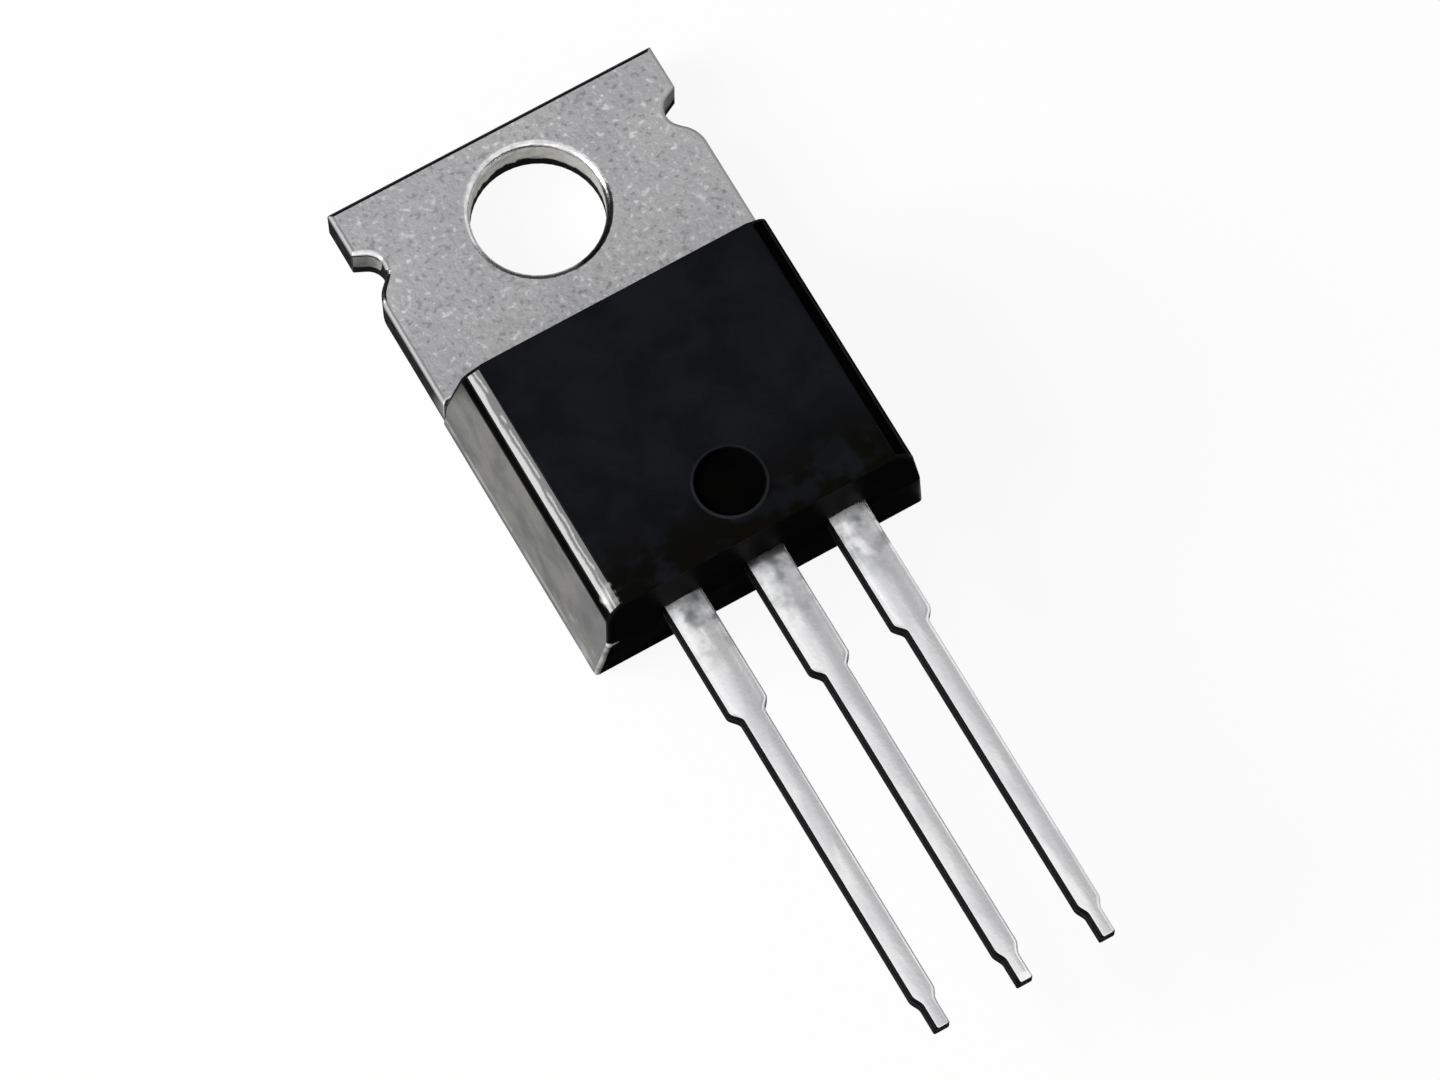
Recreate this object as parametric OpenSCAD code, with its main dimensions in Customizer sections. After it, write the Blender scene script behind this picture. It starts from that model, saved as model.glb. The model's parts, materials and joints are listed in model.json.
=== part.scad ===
// Power transistor in a TO-220AB package, lying on its mounting face.
// The origin is the centre of the screw hole on the mounting face, which is z = 0.
// +Z leaves the face that is marked, the leads run towards -Y and +X is to their right.
// Lengths are millimetres and angles are degrees.

/* [Heat sink tab] */
// Thickness of the heat sink plate
tab_thickness = 1.27; // [1.2:0.01:1.4]
// How far the tab above its notches stays inside the body's sides
tab_head_inset = 0.03; // [0:0.01:0.2]
// How far the tab below its notches stays inside the body's sides
tab_neck_inset = 0.07; // [0:0.01:0.2]
// Distance from the hole centre to the free end of the tab
tab_hole_to_end = 2.75; // [2.5:0.01:3]
// Distance from the hole centre to the foot of the body
tab_hole_to_body = 3.76; // [3.4:0.01:4]
// Diameter of the screw hole
hole_diameter = 3.8; // [3.4:0.01:4]
// Chamfer around the top of the screw hole
hole_chamfer = 0.08; // [0.04:0.01:0.15]

/* [Tab notches] */
// How far each side notch goes in
notch_depth = 0.64; // [0.3:0.01:0.9]
// Height of the middle of the notches above the hole centre
notch_height = 0.7; // [0.6:0.01:0.9]
// Radius of the root of the notches
notch_radius = 0.55; // [0.4:0.01:0.6]
// Slope of the notches' upper edge
notch_upper_slope = 26; // [15:1:40]
// Slope of the notches' lower edge
notch_lower_slope = 45; // [30:1:50]

/* [Heat sink inside the body] */
// Width of the pad that shows in the back face
pad_back_width = 7.9; // [7:0.05:8.4]
// Width of the pad above its locking ledge
pad_top_width = 8.5; // [8.45:0.05:9]
// Height of the locking ledge above the back face
ledge_height = 0.55; // [0.3:0.05:0.9]
// Length of metal that shows in the back, from the tab's free end
pad_back_length = 12.6; // [12.2:0.05:12.9]

/* [Moulded body] */
// Width of the body at the back face
body_width = 10.32; // [10.1:0.01:10.6]
// Height of the body's top above the back face
body_height = 4.4; // [4.3:0.01:4.6]
// Length from the foot at the tab to the parting line at the leads
body_length = 8.82; // [8.6:0.01:9.2]
// Draft of the two side walls
side_draft = 6; // [3:0.1:7]
// Draft of the wall at the tab
tab_end_draft = 10.5; // [5:0.1:12]
// Draft of the lead end below the parting line
front_draft_lower = 5.7; // [3:0.1:8]
// Draft of the lead end above the parting line
front_draft_upper = 10; // [5:0.1:12]
// Width of the steep lower facet of the long top edges
bevel_steep_width = 0.14; // [0.08:0.01:0.2]
// Height of the steep lower facet of the long top edges
bevel_steep_height = 0.26; // [0.2:0.01:0.35]
// Width of the flatter upper facet of the long top edges
bevel_flat_width = 0.38; // [0.3:0.01:0.5]
// Height of the flatter upper facet of the long top edges
bevel_flat_height = 0.29; // [0.2:0.01:0.35]

/* [Ejector mark] */
// Diameter of the round sunken mark in the top face
mark_diameter = 1.9; // [1.5:0.05:2.2]
// Depth of the sunken mark
mark_depth = 0.06; // [0.03:0.01:0.12]
// Width of the raised lip around the mark
mark_lip_width = 0.12; // [0.08:0.01:0.2]
// Height of the raised lip around the mark
mark_lip_height = 0.03; // [0.02:0.01:0.05]
// Distance from the mark's centre to the parting line
mark_to_front = 1.94; // [1.6:0.01:3]

/* [Leads] */
// Distance between lead centres
lead_pitch = 2.54; // [2.5:0.01:2.6]
// Thickness of the lead frame
lead_thickness = 0.5; // [0.45:0.01:0.6]
// Height of the leads' underside above the back face
lead_height = 2.7; // [2.4:0.01:2.8]
// Length of the leads outside the body
lead_length = 13.74; // [12.7:0.01:14.2]
// Width of the leads next to the body
lead_root_width = 1.25; // [1.15:0.01:1.4]
// Width of the leads over most of their length
lead_width = 0.76; // [0.7:0.01:0.9]
// Width of the pinched tips
lead_tip_width = 0.48; // [0.4:0.01:0.6]
// Length of the wide stretch from the body to the shoulder
lead_root_length = 3.36; // [3:0.01:3.8]
// Length of each curved shoulder
shoulder_length = 0.42; // [0.35:0.01:0.6]
// Length of the pinched tip
lead_tip_length = 0.7; // [0.5:0.01:1]

/* [Inside the body] */
// Distance from the parting line to the top of the collector lead's step
riser_inset = 1.2; // [0.8:0.05:1.4]
// Length of the foot of the collector lead's step
riser_foot = 0.3; // [0.2:0.05:0.5]
// Distance that the outer leads reach into the body
post_reach = 2.2; // [1.9:0.05:2.4]
// Width of the bonding posts on the outer leads
post_width = 2.7; // [2.3:0.05:2.8]
// Length of the bonding posts
post_length = 1.2; // [1:0.05:1.3]
// Distance between the posts' outer sides and the body's widest line
post_margin = 1.15; // [1.05:0.05:1.4]
// Side of the square silicon die
die_side = 3.2; // [2.6:0.1:3.6]
// Thickness of the silicon die
die_thickness = 0.25; // [0.2:0.01:0.4]
// Thickness of the solder under the die
solder_thickness = 0.06; // [0.04:0.01:0.1]
// How far the solder shows around the die
solder_margin = 0.12; // [0.05:0.01:0.2]
// Distance from the body's foot to the die centre
die_from_foot = 3.7; // [3.4:0.05:4]
// Distance of the base wire's bond to the left of the die's centre
base_bond_left = 0.9; // [0.5:0.05:1.1]
// Distance of the base wire's bond to the front of the die's centre
base_bond_front = 0.8; // [0.4:0.05:1]
// Distance of the emitter wire's bond to the right of the die's centre
emitter_bond_right = 0.7; // [0.4:0.05:0.9]
// Distance of the emitter wire's bond to the front of the die's centre
emitter_bond_front = 0.3; // [0.2:0.05:0.6]
// Diameter of the base wire
base_wire_diameter = 0.2; // [0.15:0.01:0.25]
// Diameter of the emitter wire
emitter_wire_diameter = 0.3; // [0.25:0.01:0.32]
// Angle through which each wire's loop turns
loop_angle = 126; // [110:1:135]

/* [Hidden] */
$fn = 96;
arc_steps = 6;
overcut = 1;

tab_head_width = body_width - 2 * tab_head_inset;
tab_neck_width = body_width - 2 * tab_neck_inset;
parting_y = -tab_hole_to_body - body_length;
front_back_y = parting_y + lead_height * tan(front_draft_lower);
front_top_y = parting_y + (body_height - lead_height) * tan(front_draft_upper);
tab_end_top_y = -tab_hole_to_body - (body_height - tab_thickness) * tan(tab_end_draft);
bevel_height = bevel_steep_height + bevel_flat_height;
wall_top_x = body_width / 2 - (body_height - bevel_height) * tan(side_draft);
mark_y = parting_y + mark_to_front;

pad_end_y = tab_hole_to_end - pad_back_length;
lead_top = lead_height + lead_thickness;
lead_end_y = parting_y - lead_length;
post_inner_y = parting_y + post_reach;
post_x = body_width / 2 - post_margin - post_width / 2;
riser_top_y = parting_y + riser_inset;
riser_foot_y = pad_end_y - riser_foot;

die_y = -tab_hole_to_body - die_from_foot;
die_bottom = tab_thickness + solder_thickness;
die_top = die_bottom + die_thickness;
bond_post_y = post_inner_y - post_length / 2;
base_bond = [-base_bond_left, die_y - base_bond_front];
emitter_bond = [emitter_bond_right, die_y - emitter_bond_front];

copper = [0.72, 0.72, 0.73];
resin = [0.09, 0.09, 0.1];
solder_grey = [0.6, 0.6, 0.62];
silicon_blue = [0.3, 0.32, 0.38];
wire_grey = [0.8, 0.8, 0.82];

// Points of a curved shoulder, from the half width a down to b, ending the given length further along
function shoulder(a, b, y, length) =
    let (turn = 2 * atan((a - b) / length), radius = length / (2 * sin(turn)))
    concat(
        [for (i = [0:arc_steps]) let (t = turn * i / arc_steps)
            [a - radius * (1 - cos(t)), y - radius * sin(t)]],
        [for (i = [1:arc_steps]) let (t = turn * (1 - i / arc_steps))
            [b + radius * (1 - cos(t)), y - length + radius * sin(t)]]);

// Right half of a lead's outline, from inside the body to the tip
function lead_side(inner_y) =
    let (pinch_y = lead_end_y + lead_tip_length + shoulder_length)
    concat(
        [[lead_root_width / 2, inner_y]],
        shoulder(lead_root_width / 2, lead_width / 2, parting_y - lead_root_length, shoulder_length),
        shoulder(lead_width / 2, lead_tip_width / 2, pinch_y, shoulder_length),
        [[lead_tip_width / 2, lead_end_y]]);

function mirrored(points) = [for (i = [len(points) - 1:-1:0]) [-points[i].x, points[i].y]];

module lead_blade(inner_y) {
    side = lead_side(inner_y);
    translate([0, 0, lead_height])
        linear_extrude(lead_thickness)
            polygon(concat(side, mirrored(side)));
}

// Extrudes a side view, drawn in Y and Z, to the given width about x = 0
module side_view(width) {
    translate([-width / 2, 0, 0])
        rotate([90, 0, 90])
            linear_extrude(width)
                children();
}

// Round-rooted notch in the tab's right side, opening outwards between two slopes
module notch() {
    centre = [tab_head_width / 2 - notch_depth + notch_radius, notch_height];
    upper = centre + notch_radius * [-sin(notch_upper_slope), cos(notch_upper_slope)];
    lower = centre - notch_radius * [sin(notch_lower_slope), cos(notch_lower_slope)];
    outside_x = centre.x + overcut;
    translate(centre)
        circle(notch_radius);
    polygon([
        upper,
        lower,
        [outside_x, lower.y - (outside_x - lower.x) * tan(notch_lower_slope)],
        [outside_x, upper.y + (outside_x - upper.x) * tan(notch_upper_slope)]]);
}

module tab_outline() {
    difference() {
        union() {
            translate([-tab_head_width / 2, notch_height])
                square([tab_head_width, tab_hole_to_end - notch_height]);
            translate([-tab_neck_width / 2, -tab_hole_to_body])
                square([tab_neck_width, tab_hole_to_body + tab_hole_to_end]);
        }
        circle(d = hole_diameter);
        for (side = [-1, 1])
            scale([side, 1])
                notch();
    }
}

module tab() {
    hole_radius = hole_diameter / 2;
    difference() {
        linear_extrude(tab_thickness)
            tab_outline();
        translate([0, 0, tab_thickness - hole_chamfer])
            cylinder(r1 = hole_radius, r2 = hole_radius + 2 * hole_chamfer, h = 2 * hole_chamfer);
    }
}

module pad_layer(width, bottom, top) {
    translate([-width / 2, pad_end_y, bottom])
        cube([width, -tab_hole_to_body - pad_end_y, top - bottom]);
}

// Heat sink plate inside the body, which may reach lower to cut the body's back face
module pad(below = 0) {
    pad_layer(pad_back_width, -below, tab_thickness);
    pad_layer(pad_top_width, ledge_height, tab_thickness);
}

// The collector lead's step down from the lead frame to the end of the heat sink
module riser() {
    side_view(lead_root_width)
        polygon([
            [riser_top_y - lead_thickness, lead_height],
            [riser_top_y, lead_height],
            [riser_foot_y, tab_thickness - lead_thickness],
            [pad_end_y + riser_foot, tab_thickness - lead_thickness],
            [pad_end_y + riser_foot, tab_thickness],
            [riser_foot_y + lead_thickness / 2, tab_thickness],
            [riser_top_y + lead_thickness / 2, lead_top],
            [riser_top_y - lead_thickness, lead_top]]);
}

module collector() {
    lead_blade(riser_top_y - lead_thickness / 2);
    riser();
}

module heat_sink() {
    color(copper) {
        tab();
        pad();
        collector();
    }
}

// Outer lead with its bonding post, on the side given as -1 or 1
module outer_lead(side) {
    translate([side * lead_pitch, 0, 0])
        lead_blade(post_inner_y - post_length / 2);
    translate([side * post_x - post_width / 2, post_inner_y - post_length, lead_height])
        cube([post_width, post_length, lead_thickness]);
}

module base_lead() {
    color(copper)
        outer_lead(-1);
}

module emitter_lead() {
    color(copper)
        outer_lead(1);
}

module die_solder() {
    side = die_side + 2 * solder_margin;
    color(solder_grey)
        translate([-side / 2, die_y - side / 2, tab_thickness])
            cube([side, side, solder_thickness]);
}

module die() {
    color(silicon_blue)
        translate([-die_side / 2, die_y - die_side / 2, die_bottom])
            cube([die_side, die_side, die_thickness]);
}

// Wire from a post to the die: an arc between two flattened feet
module bond_wire(start, finish, diameter) {
    run = norm(finish - start);
    drop = lead_top - die_top;
    chord = norm([run, drop]);
    loop_radius = chord / (2 * sin(loop_angle / 2));
    reach = loop_radius * cos(loop_angle / 2);
    centre = [run / 2 - reach * drop / chord, lead_top + diameter / 2 - drop / 2 - reach * run / chord];
    first = atan2(die_top + diameter / 2 - centre.y, run - centre.x);
    last = atan2(lead_top + diameter / 2 - centre.y, -centre.x);
    heading = atan2(finish.y - start.y, finish.x - start.x);
    translate([start.x, start.y, 0])
        rotate([0, 0, heading]) {
            translate([centre.x, 0, centre.y])
                rotate([90, 0, 0])
                    rotate([0, 0, first])
                        rotate_extrude(angle = last - first)
                            translate([loop_radius, 0])
                                circle(d = diameter, $fn = 24);
            for (foot = [[0, lead_top], [run, die_top]])
                translate([foot.x - diameter, -0.7 * diameter, foot.y])
                    cube([2 * diameter, 1.4 * diameter, diameter]);
        }
}

module base_wire() {
    color(wire_grey)
        bond_wire([-post_x, bond_post_y], base_bond, base_wire_diameter);
}

module emitter_wire() {
    color(wire_grey)
        bond_wire([post_x, bond_post_y], emitter_bond, emitter_wire_diameter);
}

module body_end_view() {
    half = [
        [body_width / 2, 0],
        [wall_top_x, body_height - bevel_height],
        [wall_top_x - bevel_steep_width, body_height - bevel_flat_height],
        [wall_top_x - bevel_steep_width - bevel_flat_width, body_height]];
    polygon(concat(half, mirrored(half)));
}

module body_side_view() {
    polygon([
        [-tab_hole_to_body, 0],
        [-tab_hole_to_body, tab_thickness],
        [tab_end_top_y, body_height],
        [front_top_y, body_height],
        [parting_y, lead_height],
        [front_back_y, 0]]);
}

module body_block() {
    intersection() {
        translate([0, -tab_hole_to_body + overcut, 0])
            rotate([90, 0, 0])
                linear_extrude(body_length + 2 * overcut)
                    body_end_view();
        side_view(body_width + 2 * overcut)
            body_side_view();
    }
}

module mark_lip() {
    translate([0, mark_y, body_height])
        rotate_extrude()
            translate([mark_diameter / 2, 0])
                polygon([
                    [0, -mark_depth],
                    [mark_lip_width, -mark_depth],
                    [mark_lip_width, 0],
                    [mark_lip_width / 3, mark_lip_height],
                    [0, mark_lip_height]]);
}

module moulded_body() {
    color(resin)
        difference() {
            union() {
                body_block();
                mark_lip();
            }
            translate([0, mark_y, body_height - mark_depth])
                cylinder(d = mark_diameter, h = overcut);
            pad(overcut);
            collector();
            base_lead();
            emitter_lead();
            die_solder();
            die();
            base_wire();
            emitter_wire();
        }
}

moulded_body();
heat_sink();
base_lead();
emitter_lead();
die();
die_solder();
base_wire();
emitter_wire();
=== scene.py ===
import json
import math

import bmesh
import bpy
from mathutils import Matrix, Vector


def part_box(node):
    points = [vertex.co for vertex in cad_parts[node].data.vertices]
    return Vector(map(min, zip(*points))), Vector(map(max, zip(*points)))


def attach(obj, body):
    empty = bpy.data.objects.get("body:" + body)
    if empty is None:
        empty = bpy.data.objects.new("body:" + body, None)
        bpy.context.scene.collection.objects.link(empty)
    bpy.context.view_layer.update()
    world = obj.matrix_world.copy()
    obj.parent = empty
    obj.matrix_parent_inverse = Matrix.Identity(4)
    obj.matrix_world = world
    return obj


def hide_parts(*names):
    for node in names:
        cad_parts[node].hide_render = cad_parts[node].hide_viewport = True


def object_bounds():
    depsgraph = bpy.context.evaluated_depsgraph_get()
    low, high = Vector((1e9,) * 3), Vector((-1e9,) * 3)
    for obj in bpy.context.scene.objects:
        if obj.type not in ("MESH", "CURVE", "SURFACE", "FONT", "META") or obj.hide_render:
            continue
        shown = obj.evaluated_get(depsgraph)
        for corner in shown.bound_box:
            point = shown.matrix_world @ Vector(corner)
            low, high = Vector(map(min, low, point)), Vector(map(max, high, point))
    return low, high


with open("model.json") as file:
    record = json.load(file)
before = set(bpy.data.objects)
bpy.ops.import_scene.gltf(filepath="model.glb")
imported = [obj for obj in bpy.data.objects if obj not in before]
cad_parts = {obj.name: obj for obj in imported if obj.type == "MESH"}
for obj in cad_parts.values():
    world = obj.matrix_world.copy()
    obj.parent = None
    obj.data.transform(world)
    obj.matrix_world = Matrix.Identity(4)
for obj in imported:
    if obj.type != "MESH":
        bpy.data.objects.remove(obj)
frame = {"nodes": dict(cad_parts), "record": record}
cad_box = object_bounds()

MM = 0.001

# Sizes that the frame gives
BODY_LOW, BODY_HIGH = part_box("moulded_body")
LEAD_LOW, LEAD_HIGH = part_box("base_lead")
TAB_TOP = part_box("die_solder")[0].z
PARTING_Y = BODY_LOW.y
TIP_Y = LEAD_LOW.y

# Sizes of the leads outside the body, with turns in degrees
LEAD_PITCH = 2.54 * MM
LEAD_ROOT_WIDTH = 1.25 * MM
LEAD_WIDTH = 0.76 * MM
LEAD_TIP_WIDTH = 0.48 * MM
LEAD_ROOT_LENGTH = 3.36 * MM
SHOULDER_LENGTH = 0.42 * MM
LEAD_TIP_LENGTH = 0.7 * MM
LEAD_CURVATURE = 0.35 / MM
LEAD_EDGE_RADIUS = 0.14 * MM
LEAD_BURR_RADIUS = 0.03 * MM
LEAD_OVERLAP = 0.3 * MM
LEAD_TOP_STEPS = 7
LEAD_EDGE_STEPS = 6
LEAD_BURR_STEPS = 3
LEAD_STEPS = (8, 14, 24, 14, 3)
LEAD_SHARP_TURN = 40

# Places where the leads' width starts to change
SHOULDER_Y = PARTING_Y - LEAD_ROOT_LENGTH
PINCH_Y = TIP_Y + LEAD_TIP_LENGTH + SHOULDER_LENGTH

# Rounding of the tab and the body, and the sunken mark, with turns in degrees
HOLE_RADIUS = frame["record"]["mounts"][0]["dims"]["r_mm"] * MM
HOLE_CHAMFER = 0.08 * MM
HOLE_RIM = 0.2 * MM
HOLE_RIM_STEPS = 4
TAB_RIM = 0.14 * MM
TAB_BURR = 0.02 * MM
NOTCH_MOUTH = 0.35 * MM
NOTCH_MOUTH_STEPS = 5
NOTCH_MOUTH_REACH_X = 0.1 * MM
NOTCH_MOUTH_REACH_Y = 1.0 * MM
TAB_SHARP_TURN = 25
BODY_CORNER = 0.11 * MM
BODY_CORNER_STEPS = 3
BODY_EDGE = 0.035 * MM
BODY_FOOT_EDGE = 0.08 * MM
BODY_SHARP_TURN = 8
BODY_SIDE_REACH = 1.2 * MM
BODY_CORNER_REACH = 0.2 * MM
MARK_MIDDLE = Vector((0, -10.64, 4.4)) * MM
MARK_REACH = 1.2 * MM
MARK_DEEPEST = 4.3 * MM
MARK_RIM_Z = 4.39 * MM
SAME_PLACE = 0.0002 * MM
SAME_SLOPE = 0.3
FLAT_FACE_WEIGHT = 80

# Slopes that tell faces and edges apart, as parts of a unit vector
LEVEL = 0.97
LEVEL_IN_MARK = 0.99
FACES_LEADS = 0.8
STEEP_BEVEL = (0.8, 0.95)
FLAT_BEVEL = (0.4, 0.8)
UPRIGHT_EDGE = 0.6
UPRIGHT_FACE = 0.5

# Places, directions and shares that the materials use, which measure in millimetres
PARTING_MM = PARTING_Y / MM
HOLE_MM = HOLE_RADIUS / MM
LEAD_LOW_MM = LEAD_LOW.z / MM
WALL_TOP_MM = (BODY_HIGH.z - 0.58 * MM) / MM
STRIP_OUTER_MM = (BODY_HIGH.x - 0.545 * MM) / MM
STRIP_INNER_MM = (BODY_HIGH.x - 0.925 * MM) / MM
BURNISHED = 0.64
# Directions, flat along the floor, in which the rolled rims are painted near black as shade
SHADE_FACING_IN_HOLE = (-0.71, 0.71, 0)
SHADE_FACING_AT_END = (-0.45, 0.89, 0)

# Scuffs and painted highlights as middle, size in millimetres, strength and stretch in height
SCUFFS_AND_HIGHLIGHTS = [
    (Vector((BODY_LOW.x, PARTING_Y + 1.2 * MM, 0.5 * MM)), 1.9, 0.36, 1.0),
    (Vector((BODY_LOW.x + 0.35 * MM, PARTING_Y, LEAD_LOW.z - 0.05 * MM)), 0.5, 0.6, 0.6),
    (Vector((0.745 * MM - BODY_HIGH.x, PARTING_Y + 0.75 * MM, BODY_HIGH.z)), 0.8, 0.42, 1.0)]

# Camera found from the edges in the photograph
CAMERA_TARGET = Vector((-0.522, -11.023, 1.5)) * MM
CAMERA_AZIMUTH = -29.847
CAMERA_ELEVATION = 69.686
CAMERA_DISTANCE = 220.82 * MM
FOCAL_PIXELS = 8129.7
PHOTO_WIDTH = 1440
SENSOR_WIDTH = 36.0
CLIP_START, CLIP_END = 0.01, 10.0


def direction(azimuth, elevation):
    """Unit vector towards a place around the part, with azimuth 0 at the leads' end."""
    a, e = math.radians(azimuth), math.radians(elevation)
    return Vector((math.sin(a) * math.cos(e), -math.cos(a) * math.cos(e), math.sin(e)))


# Node helpers
def new_material(name):
    """A material with a bare shader, as (material, tree, shader)."""
    material = bpy.data.materials.new(name)
    material.use_nodes = True
    tree = material.node_tree
    tree.nodes.clear()
    output = tree.nodes.new("ShaderNodeOutputMaterial")
    shader = tree.nodes.new("ShaderNodeBsdfPrincipled")
    tree.links.new(shader.outputs["BSDF"], output.inputs["Surface"])
    return material, tree, shader


def feed(tree, socket, value):
    """Links a socket to another node's output, or sets it to a constant."""
    if isinstance(value, bpy.types.NodeSocket):
        tree.links.new(value, socket)
    else:
        socket.default_value = value


def place(tree, stretch=(1, 1, 1)):
    """Object coordinates in millimetres, stretched along each axis."""
    source = tree.nodes.new("ShaderNodeTexCoord")
    mapping = tree.nodes.new("ShaderNodeMapping")
    mapping.inputs["Scale"].default_value = [s / MM for s in stretch]
    tree.links.new(source.outputs["Object"], mapping.inputs["Vector"])
    return mapping.outputs["Vector"]


def noise(tree, vector, scale, detail=4.0, rough=0.5, warp=0.0):
    node = tree.nodes.new("ShaderNodeTexNoise")
    node.inputs["Scale"].default_value = scale
    node.inputs["Detail"].default_value = detail
    node.inputs["Roughness"].default_value = rough
    node.inputs["Distortion"].default_value = warp
    tree.links.new(vector, node.inputs["Vector"])
    return node.outputs["Fac"]


def ramp(tree, value, stops):
    """Maps a value to greys or colours through (position, colour) stops."""
    node = tree.nodes.new("ShaderNodeValToRGB")
    ends = node.color_ramp.elements
    while len(ends) < len(stops):
        ends.new(0.5)
    for end, (position, colour) in zip(ends, stops):
        end.position = position
        end.color = (*colour, 1) if isinstance(colour, tuple) else (colour, colour, colour, 1)
    tree.links.new(value, node.inputs["Fac"])
    return node.outputs["Color"]


def mix(tree, factor, a, b, mode="MIX"):
    """Goes from a to b with the factor. Each of the three can be a value or a node's output."""
    node = tree.nodes.new("ShaderNodeMix")
    node.data_type = "RGBA"
    node.blend_type = mode
    for socket, value in zip((node.inputs[0], node.inputs[6], node.inputs[7]), (factor, a, b)):
        feed(tree, socket, (*value, 1) if isinstance(value, tuple) else value)
    return node.outputs[2]


def maths(tree, operation, a, b=0.0):
    node = tree.nodes.new("ShaderNodeMath")
    node.operation = operation
    for socket, value in zip(node.inputs, (a, b)):
        feed(tree, socket, value)
    return node.outputs[0]


def vector_maths(tree, operation, a, b=(0, 0, 0)):
    """A vector operation, whose result is a number for a length, a distance or a product."""
    node = tree.nodes.new("ShaderNodeVectorMath")
    node.operation = operation
    for socket, value in zip(node.inputs, (a, b)):
        feed(tree, socket, value)
    return node.outputs["Value" if operation in ("LENGTH", "DISTANCE", "DOT_PRODUCT") else "Vector"]


def bump(tree, shader, height, distance):
    """Roughens the surface by a height that goes from 0 to 1 over the distance."""
    node = tree.nodes.new("ShaderNodeBump")
    node.inputs["Distance"].default_value = distance
    node.inputs["Strength"].default_value = 1.0
    tree.links.new(height, node.inputs["Height"])
    tree.links.new(node.outputs["Normal"], shader.inputs["Normal"])


def axes(tree, vector):
    """A vector's parts, by the names X, Y and Z."""
    node = tree.nodes.new("ShaderNodeSeparateXYZ")
    tree.links.new(vector, node.inputs[0])
    return node.outputs


def facing(tree):
    """The direction that the surface faces."""
    return tree.nodes.new("ShaderNodeNewGeometry").outputs["Normal"]


def flattened(tree, vector):
    """A vector without its height."""
    return vector_maths(tree, "MULTIPLY", vector, (1, 1, 0))


def fade(tree, value, low, high, start=0.0, end=1.0):
    """Goes smoothly from start to end while the value goes from low to high."""
    node = tree.nodes.new("ShaderNodeMapRange")
    node.interpolation_type = "SMOOTHSTEP"
    for socket, number in zip(node.inputs[1:5], (low, high, start, end)):
        socket.default_value = number
    tree.links.new(value, node.inputs[0])
    return node.outputs[0]


# Materials
def tab_plating():
    """Matt tin with a coarse grain, small pale flecks and dark pits."""
    material, tree, shader = new_material("matte_tin_plating")
    at = place(tree)
    grain = noise(tree, at, 3.2, 2.5, 0.6, 0.3)
    cloud = noise(tree, at, 0.5, 3.0, 0.5)
    flecks = noise(tree, place(tree, (1.0, 1.2, 1.0)), 5.2, 1.0)
    base = ramp(tree, grain, [
        (0.38, (0.40, 0.40, 0.405)), (0.5, (0.44, 0.44, 0.445)), (0.62, (0.48, 0.48, 0.49))])
    tint = ramp(tree, cloud, [(0.35, (0.92, 0.92, 0.94)), (0.65, (1.02, 1.01, 1.01))])
    pitted = mix(tree, fade(tree, flecks, 0.4, 0.3), base, (0.32, 0.32, 0.325))
    flecked = mix(tree, fade(tree, flecks, 0.6, 0.74), pitted, (0.61, 0.61, 0.62))
    tree.links.new(mix(tree, 1.0, flecked, tint, "MULTIPLY"), shader.inputs["Base Color"])
    shader.inputs["Metallic"].default_value = 1.0
    tree.links.new(ramp(tree, grain, [(0.38, 0.7), (0.62, 0.55)]), shader.inputs["Roughness"])
    bump(tree, shader, noise(tree, at, 5.0, 4.0, 0.6), 0.02 * MM)
    return material


def rolled_edge():
    """Edges that the punch drew smooth: painted shade near black where rims face set directions in
    the hole and away from the body, painted darker as shade on rims facing left, satin along both
    sides.
    """
    material, tree, shader = new_material("rolled_edge")
    at = place(tree)
    grain = noise(tree, at, 5.0, 4.0, 0.6)
    level = vector_maths(tree, "NORMALIZE", flattened(tree, facing(tree)))
    radius = vector_maths(tree, "LENGTH", flattened(tree, at))
    outside = fade(tree, radius, HOLE_MM + 0.3, HOLE_MM + 0.6)
    in_hole = fade(tree, vector_maths(tree, "DOT_PRODUCT", level, SHADE_FACING_IN_HOLE), 0.72, 0.84)
    at_end = fade(tree, vector_maths(tree, "DOT_PRODUCT", level, SHADE_FACING_AT_END), 0.6, 0.75)
    # Painted shade: rims that face these directions turn near black
    painted_shade_band = mix(tree, outside, in_hole, at_end)
    # Painted shade on side rims facing left, which turn darker; both side rims are matt
    left = maths(tree, "MULTIPLY", outside, fade(tree, axes(tree, level)["X"], -0.93, -0.985))
    right = maths(tree, "MULTIPLY", outside, fade(tree, axes(tree, level)["X"], 0.3, 0.5))
    matt = maths(tree, "MAXIMUM", left, right)
    bright = mix(tree, right, ramp(tree, grain, [(0.35, 0.55), (0.65, 0.82)]), (0.48, 0.48, 0.485))
    bright = mix(tree, left, bright, (0.2, 0.2, 0.202))
    tree.links.new(mix(tree, painted_shade_band, bright, (0.07, 0.07, 0.07)), shader.inputs["Base Color"])
    shader.inputs["Metallic"].default_value = 1.0
    shine = ramp(tree, grain, [(0.35, 0.28), (0.65, 0.18)])
    tree.links.new(mix(tree, matt, shine, (0.66, 0.66, 0.66)), shader.inputs["Roughness"])
    bump(tree, shader, grain, 0.012 * MM)
    return material


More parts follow.
